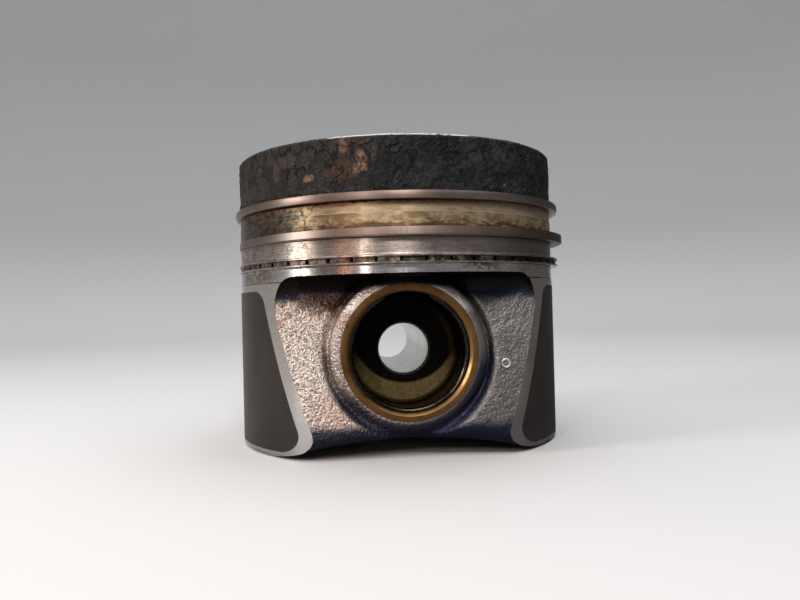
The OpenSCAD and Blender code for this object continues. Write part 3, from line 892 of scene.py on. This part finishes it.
def paint_turned():
    p = Paint("turned_alloy")
    z = p.z
    az, r = p.side_angle(), p.radius()
    above_oil_ring, above_second = z.step(21.5, 21.7), z.step(27.4, 27.6)
    above_skirt = z.step(17.5, 17.9)
    streak = p.noise(0.9, 3, 0.6, (0.25, 0.25, 9.0))
    cloud = p.noise(0.16, 3, 0.6)
    speck = p.noise(2.6, 3, 0.7)
    skirt = streak.step(0.3, 0.7).mix((0.68, 0.65, 0.61), (0.82, 0.78, 0.73))
    # Painted light and shade on the skirt: darker low on the right, lighter low on the left and higher
    # up on the right.
    shaded_low_right = z.step(-4, -18) * az.step(18, 30)
    skirt = (shaded_low_right * 0.75).mix(skirt, (0.2, 0.19, 0.185))
    skirt = (z.step(0, -16) * az.step(-18, -30) * 0.7).mix(skirt, (1.0, 0.97, 0.94))
    col = (z.step(-3, 6) * (az.step(20, 32) * 0.9)).mix(skirt, (1.0, 0.97, 0.94))
    land4 = streak.step(0.3, 0.7).mix((0.76, 0.73, 0.7), (0.92, 0.89, 0.86))
    # Painted warm reflection beside the key lamp's highlight on land 4, blotched by noise.
    copper = az.band(-30, -17, 4) * cloud.step(0.35, 0.6, 0.5, 1.0)
    land4 = (copper * 0.8).mix(land4, (0.52, 0.34, 0.24))
    olive = az.step(-40, -56) * p.noise(0.5, 4, 0.7).step(0.3, 0.6)
    land4 = (olive * 0.85).mix(land4, (0.3, 0.24, 0.15))
    soot4 = az.band(18, 32, 4) * (p.noise(0.8, 4, 0.75) + (z - 18.5) * 0.12).step(0.5, 0.62)
    land4 = (soot4 * 0.8).mix(land4, (0.08, 0.05, 0.035))
    # Painted light: land 4 lighter on the right.
    land4 = (az.step(24, 34) * 0.9).mix(land4, (1.0, 0.84, 0.72))
    col = z.step(SKIRT_TOP, SKIRT_TOP + 0.12).mix(col, land4)
    land3 = streak.step(0.35, 0.7).mix((0.42, 0.34, 0.3), (0.72, 0.64, 0.58))
    land3 = az.step(10, 40).mix(land3, (0.5, 0.43, 0.38))
    # Painted shadow under the second ring, and a painted highlight along the land's lower edge from the
    # middle to the right.
    land3 = (z.step(24.4, 25.9) * 0.55).mix(land3, (0.2, 0.14, 0.11))
    land3 = (z.band(22.15, 22.45, 0.12) * az.step(-18, -6)).mix(land3, (1.0, 0.96, 0.92))
    col = above_oil_ring.mix(col, land3)
    gold = p.noise(0.35, 4, 0.65, (1, 1, 1.6)).step(0.38, 0.62)
    gold = gold.mix((0.3, 0.2, 0.1), (0.6, 0.47, 0.29))
    gold = (az.step(-28, -46) * 0.9).mix(gold, (0.045, 0.036, 0.03))
    umber = (p.noise(0.5, 4, 0.65, (0.6, 0.6, 2.2)) + (29.3 - z) * 0.13).step(0.48, 0.62)
    gold = (umber * 0.85).mix(gold, (0.11, 0.062, 0.03))
    char = p.noise(0.55, 5, 0.75, (1, 1, 1.4)).step(0.44, 0.58) * az.step(-20, -36)
    gold = (char * 0.9).mix(gold, (0.02, 0.014, 0.011))
    col = above_second.mix(col, gold)
    near_edge = z.step(28.9, 28.0).top(z.step(22.9, 22.1) * above_oil_ring)
    near_edge = near_edge.top(z.step(19.2, 19.9) * z.step(20.4, 20.2)) * z.step(17.5, 17.8)
    patchy = (p.noise(0.45, 3, 0.6) - 0.5) * 0.5
    dots = (speck + patchy + near_edge * 0.17).step(0.67, 0.75)
    where = az.step(-24, -44).top(above_second)
    dots = dots * (z.step(SKIRT_TOP, SKIRT_TOP + 0.3) * (where * 0.25 + 0.25))
    col = dots.mix(col, (0.02, 0.015, 0.012))
    edge = z.band(SKIRT_TOP - 0.05, SKIRT_TOP + 0.2, 0.04)
    col = (edge * 0.6).mix(col, (0.85, 0.8, 0.74))
    deep = r.step(41.72, 41.5)
    col = (deep * above_skirt).mix(col, (0.02, 0.016, 0.013))
    foot = z.step(FOOT + 0.5, FOOT + 0.1)
    col = (foot * cloud.step(0.4, 0.6, 0.1, 0.5)).mix(col, (0.3, 0.28, 0.26))
    rough = streak.step(0.25, 0.75) * 0.06 + 0.17
    rough = rough + above_oil_ring * 0.16 + above_second * 0.1 + dots.top(deep) * 0.4
    p.set("Metallic", z.step(27.4, 27.6, 1.0, 0.6))
    p.bump(p.noise(0.6, 3, 0.6, (0.08, 0.08, 9.0)), 0.004)
    p.lathe_grain(0.9)
    return p.finish(col, rough)


def paint_cast():
    p = Paint("cast_alloy", metal=0.9)
    x, y, z = p.x, p.y, p.z
    r = p.pin_radius()
    grain = p.noise(2.6, 2, 0.5)
    lumps = p.noise(1.5, 2, 0.5)
    cloud = p.noise(0.11, 4, 0.6)
    small = p.noise(3.2, 3, 0.6)
    out = abs(y)
    outside = out.step(29, 30)
    front = y.step(12, -12)
    # Painted light: the front wall is lighter on the left, as if lit from there; the back gets a middle
    # tone.
    left = front * x.step(6, -8) + (1.0 - front) * 0.4
    base = cloud.step(0.36, 0.64).mix((0.19, 0.185, 0.18), (0.25, 0.24, 0.23))
    base = left.mix(base, (0.84, 0.74, 0.68))
    pit = (grain + (lumps - 0.5) * 0.5).step(0.56, 0.38)
    base = (pit * (left * 0.3 + 0.35)).mix(base, (0.07, 0.05, 0.04))
    ridge = r.step(19.0, 18.2) * outside
    # The boss's rim is kept out of that painted light: darker than the wall on the left, lighter on the
    # right.
    base = (ridge * (left * 0.4)).mix(base, (0.3, 0.25, 0.24))
    base = (ridge * ((1.0 - left) * 0.5)).mix(base, (0.42, 0.4, 0.39))
    blotch = p.noise(0.33, 4, 0.7)
    stain = blotch.step(0.46, 0.6) * (z.step(2, 9) * x.step(-8, -15))
    base = (stain * 0.75).mix(base, (0.3, 0.14, 0.07))
    rosy = (abs(x + 15) + (cloud - 0.5) * 12).step(9, 3) * z.step(-6, -11)
    base = (rosy * 0.35).mix(base, (0.52, 0.3, 0.2))
    # Painted shade, tinted as a blue painted reflection: along the lower edge of the walls, under the
    # boss and under the roof of the recess.
    painted_shade = (z + cloud * 1.5).step(-14.6, -17.2)
    # Darker in the groove round the boss: painted shade, with some dirt.
    groove = r.band(18.6, 20.2, 0.5)
    base = (groove * (outside * 0.72)).mix(base, (0.045, 0.035, 0.035))
    valley = r.band(16.2, 20.4, 0.7) * (z + x * -0.25).step(-2, -9)
    roof_shadow = (z + blotch * 3.0).step(12.2, 15.0)
    brown = (z + blotch * 3.0).step(10.8, 12.8) * x.band(-25, -12, 1.5)
    base = (brown * 0.8).mix(base, (0.085, 0.045, 0.03))
    roof_shadow = roof_shadow * (1.0 - x.band(-25, -12, 1.5) * z.step(14.6, 13.4) * 0.8)
    roof_shadow = roof_shadow * r.step(17.8, 18.8).top(z.step(14.6, 16.0))
    painted_shade = painted_shade.top(valley * 0.92).top(roof_shadow)
    outer = out.step(24.5, 26.0)
    painted_shade = painted_shade * outer
    # Colour of that painted shade: dark blue low down, near black under the roof.
    shade = z.step(13.0, 15.5).mix((0.018, 0.022, 0.055), (0.01, 0.007, 0.008))
    base = (painted_shade * 0.94).mix(base, shade)
    # Painted highlight on the upper rim of the boss.
    upper = r.step(18.3, 17.6) * outer * (z.step(8.5, 10.5) * z.step(15.5, 14.0))
    base = (upper * 0.8).mix(base, (0.95, 0.88, 0.82))
    inside = out.step(27.0, 23.0)
    varnish = inside * z.step(-22, 22, 0.25, 0.9)
    base = varnish.mix(base, (0.12, 0.075, 0.035))
    height = grain * 0.35 + lumps * 0.75
    p.bump(height * (left * 0.65 + 0.3), 0.6)
    return p.finish(base, small.step(0.3, 0.7) * 0.14 + 0.36)


def paint_crown():
    p = Paint("sooted_crown", metal=0.25)
    r = p.radius()
    cloud = p.noise(0.1, 5, 0.65)
    mottle = p.noise(0.8, 4, 0.7)
    soot = mottle.step(0.35, 0.68).mix((0.02, 0.018, 0.016), (0.075, 0.065, 0.055))
    ash = mottle.step(0.3, 0.7).mix((0.16, 0.14, 0.12), (0.3, 0.27, 0.23))
    col = (cloud.step(0.46, 0.62) * r.step(40.5, 36.0)).mix(soot, ash)
    bowl = r.step(22.8, 21.0)
    tan = p.noise(0.25, 4, 0.6).step(0.4, 0.65).mix((0.05, 0.038, 0.028), (0.17, 0.12, 0.08))
    col = bowl.mix(col, tan)
    lip = r.band(22.2, 23.0, 0.25)
    col = (lip * mottle.step(0.4, 0.6, 0.2, 0.75)).mix(col, (0.34, 0.3, 0.26))
    p.bump(mottle + p.noise(3.5, 3, 0.6) * 0.4, 0.1)
    return p.finish(col, mottle.step(0.3, 0.7, 0.5, 0.75))


def paint_crust():
    p = Paint("carbon", metal=0.0)
    wear = p.node("Attribute")
    wear.attribute_name = "wear"
    split = p.node("SeparateColor")
    p.tree.links.new(wear.outputs["Color"], split.inputs[0])
    bare, chip, crack, plate = (Field(p, out) for out in (*split.outputs, wear.outputs["Alpha"]))
    az = p.side_angle()
    fine = p.noise(2.6, 4, 0.65)
    mid = p.noise(0.75, 4, 0.65)
    wide = p.noise(0.34, 4, 0.62)
    warm = az.step(-5, -30)
    dark = warm.mix((0.005, 0.006, 0.007), (0.007, 0.006, 0.005))
    light = warm.mix((0.034, 0.037, 0.04), (0.038, 0.028, 0.023))
    p.set("Specular IOR Level", 0.3)
    tone = mid * 0.35 + (wide * 0.25 + plate * 0.4)
    col = tone.step(0.36, 0.68).mix(dark, light)
    col = (fine.step(0.5, 0.38) * 0.75).mix(col, (0.004, 0.004, 0.004))
    tan = fine.step(0.35, 0.65).mix((0.04, 0.027, 0.02), (0.115, 0.075, 0.054))
    streaks = p.noise(0.7, 3, 0.7, (1.6, 1.6, 0.35)).step(0.56, 0.68)
    col = (streaks * az.step(-6, -20) * 0.3).mix(col, tan)
    col = (chip * mid.step(0.38, 0.6, 0.25, 0.9)).mix(col, warm.mix((0.06, 0.05, 0.036), tan))
    bright = az.band(-17.0, -12.6, 1.0) * p.noise(1.3, 4, 0.75).step(0.42, 0.58)
    bright = bright.top(az.step(-29, -31) * fine.step(0.36, 0.55))
    bright = bright.top(p.z.step(44.4, 45.4) * 0.6)
    rust = p.noise(0.9, 4, 0.7, (1, 1, 2.2)).step(0.36, 0.64)
    rust = rust.mix((0.04, 0.023, 0.016), (0.085, 0.048, 0.034))
    bare_col = bright.mix(rust, (0.3, 0.19, 0.125))
    col = bare.mix(col, bare_col)
    glint = fine.step(0.62, 0.7) * (az.step(-9, -26) * 0.35)
    col = glint.mix(col, (0.42, 0.36, 0.3))
    flecks = p.noise(1.9, 3, 0.7).step(0.6, 0.68) * wide.step(0.44, 0.56, 0.1, 0.7)
    col = flecks.mix(col, (0.085, 0.085, 0.085))
    col = (crack * 0.85).mix(col, (0.003, 0.003, 0.003))
    # The crown's edge is bare metal, kept light only over the front as a painted highlight.
    rim = p.z.step(CROWN - 0.34, CROWN - 0.16) * az.band(-25, 19.5, 2.5)
    rim = rim * p.radius().step(TOP_METAL_R - 0.72, TOP_METAL_R - 0.5)
    rim = rim * p.noise(0.9, 3, 0.7).step(0.36, 0.46)
    col = rim.mix(col, (0.8, 0.78, 0.76))
    p.set("Metallic", (bare * 0.4).top(rim))
    p.bump(p.noise(1.1, 5, 0.62) + fine * 0.1, 0.85)
    return p.finish(col, fine.step(0.3, 0.7, 0.36, 0.6) + crack * 0.3)


def paint_carrier():
    p = Paint("carrier_iron")
    lip = 35.2, 35.6
    z = p.z
    az, r = p.side_angle(), p.radius()
    cloud = p.noise(0.3, 4, 0.65, (1, 1, 2.2))
    streak = p.noise(1.0, 3, 0.6, (0.2, 0.2, 8.0))
    col = cloud.step(0.36, 0.62).mix((0.4, 0.29, 0.16), (0.66, 0.53, 0.34))
    col = (streak.step(0.4, 0.7) * 0.35).mix(col, (0.72, 0.64, 0.48))
    col = (az.step(-24, -44) * 0.92).mix(col, (0.045, 0.037, 0.031))
    burnt = (z + cloud * 2.4).step(33.5, 34.9)
    col = (burnt * 0.9).mix(col, (0.19, 0.09, 0.035))
    soot = ((z - 33.3) * 0.45 + p.noise(0.9, 4, 0.7)).step(0.6, 0.8)
    char = p.noise(0.55, 5, 0.75, (1, 1, 1.4)).step(0.46, 0.58) * az.step(-22, -36)
    soot = (soot * az.step(45, -24, 0.35, 1.0)).top(char * 0.9)
    col = soot.mix(col, (0.018, 0.014, 0.011))
    upper = z.step(*lip)
    char = p.noise(1.6, 4, 0.7).step(0.4, 0.66).mix((0.016, 0.016, 0.017), (0.055, 0.052, 0.05))
    col = upper.mix(col, char)
    deep = r.step(41.62, 41.45)
    col = deep.mix(col, (0.012, 0.01, 0.009))
    # Painted light: lighter on the right, where there is no soot.
    col = (az.step(12, 40) * ((1.0 - soot) * 0.35)).mix(col, (0.8, 0.7, 0.54))
    seam = z.band(31.42, 31.56, 0.05)
    col = (seam * az.step(-46, -18, 0.1, 0.8)).mix(col, (0.85, 0.76, 0.6))
    p.set("Metallic", z.step(*lip, 0.6, 0.1))
    grit = p.noise(4.0, 3, 0.6) * z.step(*lip, 0.05, 1.0)
    p.bump(p.noise(0.6, 3, 0.6, (0.08, 0.08, 9.0)) * 0.4 + grit, 0.05)
    p.lathe_grain(0.8)
    return p.finish(col, soot.top(upper) * 0.2 + 0.42)


def paint_ring(name, light, dark, rough, right, left=None):
    """Ring steel or iron; right and left are colours of painted light and shade that it leans to on
    those sides.
    """
    p = Paint(name)
    streak = p.noise(0.6, 3, 0.6, (0.5, 0.5, 7.0))
    wear = p.noise(0.16, 3, 0.6)
    marks = p.noise(1.4, 2, 0.5, (1, 1, 0.15))
    col = wear.step(0.35, 0.65).mix(dark, light)
    col = (streak.step(0.5, 0.75) * 0.25).mix(col, light)
    col = (marks.step(0.62, 0.7) * 0.25).mix(col, (0.1, 0.075, 0.06))
    inner = p.radius().step(42.9, 42.3)
    az = p.side_angle()
    # Painted light and shade: the ring leans to other tones on its right and left.
    col = (az.step(5, 45) * 0.3).mix(col, right)
    if left:
        col = az.step(-24, -44).mix(col, left)
    col = (inner * 0.75).mix(col, (0.05, 0.04, 0.035))
    p.bump(streak, 0.004)
    p.lathe_grain(0.85)
    return p.finish(col, wear * 0.16 + (rough - 0.08))


def paint_oil_ring():
    p = Paint("oil_ring_steel")
    high = abs(p.z - oil_ring.z)
    web = high.step(oil_ring.h / 2 - 0.38, oil_ring.h / 2 - 0.5)
    az = p.side_angle()
    tint = p.noise(0.35, 3, 0.7).step(0.45, 0.62).mix((0.07, 0.05, 0.035), (0.42, 0.37, 0.29))
    tint = az.step(18, 34).mix(tint, (0.06, 0.045, 0.035))
    rosy = p.noise(0.9, 4, 0.7).step(0.4, 0.62).mix((0.08, 0.055, 0.045), (0.34, 0.25, 0.22))
    tint = az.step(-8, -22).mix(tint, rosy)
    rail = p.noise(0.4, 3, 0.6).step(0.35, 0.65).mix((0.36, 0.31, 0.28), (0.7, 0.63, 0.58))
    col = web.mix(rail, tint)
    soot = p.noise(2.0, 4, 0.75).step(0.6, 0.68)
    col = (soot * (web * 0.6 + 0.25)).mix(col, (0.012, 0.01, 0.009))
    col = p.radius().step(41.9, 41.4).mix(col, (0.015, 0.012, 0.01))
    p.lathe_grain(0.8)
    return p.finish(col, web * 0.25 + 0.26)


def paint_brass():
    p = Paint("bushing_brass")
    r = p.pin_radius()
    cloud = p.noise(0.35, 4, 0.6)
    col = cloud.step(0.3, 0.75).mix((0.23, 0.115, 0.04), (0.32, 0.165, 0.062))
    lit = r.band(BUSH_BORE_R - 0.1, BUSH_BORE_R + 0.62, 0.05)
    col = (lit * 0.6).mix(col, (0.44, 0.28, 0.11))
    # Painted light: the brass is lighter towards +X.
    col = (p.x.step(6, 14) * 0.5).mix(col, (0.44, 0.25, 0.1))
    inner = cloud.step(0.4, 0.6).mix((0.008, 0.005, 0.002), (0.022, 0.014, 0.006))
    bevel = abs(p.y).step(BOSS_FACE - 0.75, BOSS_FACE - 0.62)
    col = bevel.mix(inner, col)
    rim = r.step(BUSH_R - 0.12, BUSH_R - 0.02)
    col = (rim * 0.7).mix(col, (0.05, 0.03, 0.015))
    stain = p.noise(1.2, 4, 0.7).step(0.6, 0.7) * 0.5
    col = stain.mix(col, (0.1, 0.05, 0.02))
    p.bump(p.noise(2.0, 3, 0.6), 0.006)
    return p.finish(col, cloud.step(0.3, 0.7, 0.3, 0.45))


def paint_pin():
    p = Paint("pin_steel")
    x, z = p.x, p.z
    r = p.pin_radius()
    near = p.y.step(pin_low[1] + 1.1, pin_low[1] + 0.9)
    cloud = p.noise(0.2, 4, 0.6)
    col = cloud.step(0.35, 0.65).mix((0.48, 0.46, 0.42), (0.62, 0.6, 0.56))
    # The near end face: near black as painted shade deep in the bore, a painted lit crescent at its
    # bottom and faint painted light on its right.
    film = p.noise(0.9, 4, 0.65).step(0.4, 0.65).mix((0.0025, 0.002, 0.0015), (0.006, 0.005, 0.003))
    arc = p.distance(x - 0.3, z - 4.5)
    crescent = arc.step(12.9, 13.6) * z.step(0.5, -4.0)
    olive = p.noise(1.6, 3, 0.6).step(0.35, 0.7).mix((0.2, 0.155, 0.06), (0.3, 0.235, 0.1))
    film = (crescent * 0.95).mix(film, olive)
    side = r.band(11.6, 13.1, 0.5) * (x.step(4, 9) * z.step(-9, 2))
    film = (side * 0.6).mix(film, (0.045, 0.03, 0.014))
    face = near * r.step(PIN_HOLE_R + 0.25, PIN_HOLE_R + 0.45)
    col = face.mix(col, film)
    p.set("Metallic", 1.0 - face * 0.8)
    p.set("Specular IOR Level", 0.1)
    p.bump(p.noise(1.5, 3, 0.6), 0.004)
    return p.finish(col, face * 0.35 + 0.22)


def paint_pad():
    p = Paint("graphite_print", metal=0.2)
    lines = p.noise(1.0, 2, 0.5, (0.05, 0.05, 6.0))
    cloud = p.noise(0.08, 4, 0.6, (1, 1, 0.6))
    polish = p.noise(0.3, 3, 0.6, (1.5, 1.5, 0.2))
    col = cloud.step(0.35, 0.65).mix((0.026, 0.021, 0.018), (0.04, 0.033, 0.029))
    col = (lines.step(0.4, 0.7) * 0.25).mix(col, (0.058, 0.048, 0.042))
    p.set("Specular IOR Level", 0.4)
    p.bump(lines + p.noise(5.0, 2, 0.5) * 0.3, 0.008)
    p.lathe_grain(0.6)
    return p.finish(col, polish * 0.2 + 0.36)


def paint_steel(name, base, rough):
    p = Paint(name)
    cloud = p.noise(0.8, 3, 0.6)
    dark = tuple(0.6 * c for c in base)
    shine = cloud.step(0.3, 0.7, rough - 0.05, rough + 0.1)
    return p.finish(cloud.step(0.35, 0.65).mix(dark, base), shine)


# ---- put together

def add_piece(obj, paint, body, slot, node=None):
    """Finishes a piece, hangs it on its body and hides the CAD node that it replaces."""
    crease(obj, 30)
    obj.data.materials.clear()
    obj.data.materials.append(paint)
    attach(obj, body)
    if node:
        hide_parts(node)


casting = build_casting()
turned, cast, crown = paint_turned(), paint_cast(), paint_crown()
settle_casting(casting, [turned, cast, crown, cast])
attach(casting, "piston")
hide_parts("piston_body")

brass, graphite = paint_brass(), paint_pad()
spring = paint_steel("spring_steel", (0.34, 0.32, 0.30), 0.35)
clip = paint_steel("circlip_steel", (0.07, 0.055, 0.042), 0.2)
# The witness mark is near white so that its whole ring reads as lit: a painted highlight.
alloy = paint_steel("mark_alloy", (0.95, 0.93, 0.90), 0.45)
# The last colours given to each ring are painted light and shade for its right side and, on the second
# ring, its left.
steel = paint_ring("ring_steel", (0.365, 0.28, 0.24), (0.30, 0.225, 0.19), 0.45, (0.70, 0.60, 0.55))
iron = paint_ring("ring_iron", (0.46, 0.35, 0.31), (0.37, 0.275, 0.24), 0.50, (0.02, 0.01, 0.01),
                  (1.0, 0.86, 0.78))
for piece in (
        (build_carrier(), paint_carrier(), "piston", "ring_carrier_iron", "ring_carrier"),
        (build_bushing("bushing_near", -1), brass, "piston", "bushing_brass", "pin_bushing_front"),
        (build_bushing("bushing_far", 1), brass, "piston", "bushing_brass", "pin_bushing_rear"),
        (build_pin(), paint_pin(), "pin", "pin_steel", "wrist_pin"),
        (build_circlip(), clip, "piston", "circlip_steel", "circlip_front"),
        (build_top_ring(), steel, "top_ring", "ring_steel", "top_compression_ring"),
        (build_second_ring(), iron, "second_ring", "ring_iron", "second_compression_ring"),
        (build_oil_ring(), paint_oil_ring(), "oil_ring", "oil_ring_steel", "oil_control_ring"),
        (build_expander(), spring, "oil_ring", "spring_steel", "oil_ring_spring"),
        (build_latch_wire(), spring, "oil_ring", "spring_steel", "spring_latch_wire"),
        (build_pad("coating_left", -1), graphite, "piston", "skirt_coating", "skirt_coating_left"),
        (build_pad("coating_right", 1), graphite, "piston", "skirt_coating", "skirt_coating_right"),
        (build_crust(), paint_crust(), "piston", "cast_aluminium"),
        (build_mark(), alloy, "piston", "cast_aluminium")):
    add_piece(*piece)


# ---- stage, lights, camera

def build_dish():
    """Pale floor that curves up all round, far from the piston."""
    floor_z = FOOT - 0.05
    flat, bend, wall, segments = 700.0, 500.0, 900.0, 128
    points = [[1.0, floor_z], [200, floor_z], [450, floor_z]]
    points += [[flat + bend * math.sin(a), floor_z + bend * (1 - math.cos(a))]
               for a in np.linspace(0, math.pi / 2, 24)]
    points += [[flat + bend, floor_z + bend + wall]]
    verts, faces = revolve(np.array(points), segments, closed=False)
    middle = [i * len(points) for i in range(segments)]
    obj = make_object("floor", verts, faces.tolist() + [middle])
    obj.data.materials.append(paint_floor())


def paint_floor():
    """Pale to the camera; as a reflection it is a dim room that is brighter to the left and behind."""
    p = Paint("floor_grey", metal=0.0)
    az = p.azimuth()
    room = az.step(-62, -100).mix((0.24, 0.24, 0.245), (0.45, 0.43, 0.41))
    room = az.step(50, 100).mix(room, (0.10, 0.098, 0.095))
    room = abs(az).step(140, 165).mix(room, (0.70, 0.70, 0.70))
    pale = p.z.step(-20, 160).mix((0.74, 0.74, 0.74), (0.56, 0.56, 0.56))
    seen = Field(p, p.node("LightPath").outputs["Is Camera Ray"])
    p.set("Specular IOR Level", 0.1)
    return p.finish(seen.mix(room, pale), 0.8)


def lamp(name, azimuth, elevation, distance, size, power, colour, height=None):
    """Area light that looks at the piston. Azimuth 0 is the front, growing towards +X."""
    data = bpy.data.lights.new(name, "AREA")
    data.shape = "RECTANGLE" if height else "ELLIPSE"
    data.size, data.size_y = size * MM, (height or size) * MM
    data.energy, data.color = power, colour
    obj = bpy.data.objects.new(name, data)
    a, e = math.radians(azimuth), math.radians(elevation)
    away = Vector((math.sin(a) * math.cos(e), -math.cos(a) * math.cos(e), math.sin(e)))
    obj.location = Vector((0, 0, 12 * MM)) + away * distance * MM
    obj.rotation_euler = away.to_track_quat("Z", "Y").to_euler()
    bpy.context.scene.collection.objects.link(obj)


build_dish()
# name, azimuth, elevation, distance, width, power, colour, height
for lights in (
        ("key", -25.5, 19, 420, 12, 0.23, (1.0, 0.86, 0.76), 60),
        ("front_top", 0, 40, 450, 120, 0.55, (1.0, 0.93, 0.88)),
        ("left_near", -70, 20, 480, 9, 0.50, (1.0, 0.86, 0.78), 60),
        ("left_far", -79, 20, 480, 9, 0.42, (0.97, 1.0, 0.95), 60),
        ("copper", -39, 16, 450, 60, 0.08, (1.0, 0.52, 0.32), 60),
        ("ceiling", 150, 75, 1000, 500, 1.4, (0.96, 0.98, 1.0), 500)):
    lamp(*lights)

world = bpy.data.worlds.new("room")
bpy.context.scene.world = world
world.use_nodes = True
sky = world.node_tree.nodes["Background"]
sky.inputs["Color"].default_value = (0.80, 0.82, 0.85, 1)
sky.inputs["Strength"].default_value = 1.55

camera_data = bpy.data.cameras.new("camera")
camera_data.sensor_width = 36.0
camera_data.lens = 32.63
camera_data.clip_start = 0.005
camera_data.clip_end = 10.0
camera = bpy.data.objects.new("camera", camera_data)
bpy.context.scene.collection.objects.link(camera)
turn = (Matrix.Rotation(math.radians(-4.818), 3, "Z") @ Matrix.Rotation(math.radians(0.502), 3, "X")
        @ Matrix.Rotation(math.radians(1.431), 3, "Y"))
right, ahead, up = turn.col[0], turn.col[1], turn.col[2]
camera.matrix_world = Matrix((
    (right[0], up[0], -ahead[0], -16.024 * MM),
    (right[1], up[1], -ahead[1], -199.764 * MM),
    (right[2], up[2], -ahead[2], 10.571 * MM),
    (0, 0, 0, 1)))
bpy.context.scene.camera = camera
bpy.context.scene.view_settings.view_transform = "Standard"

bpy.context.view_layer.update()
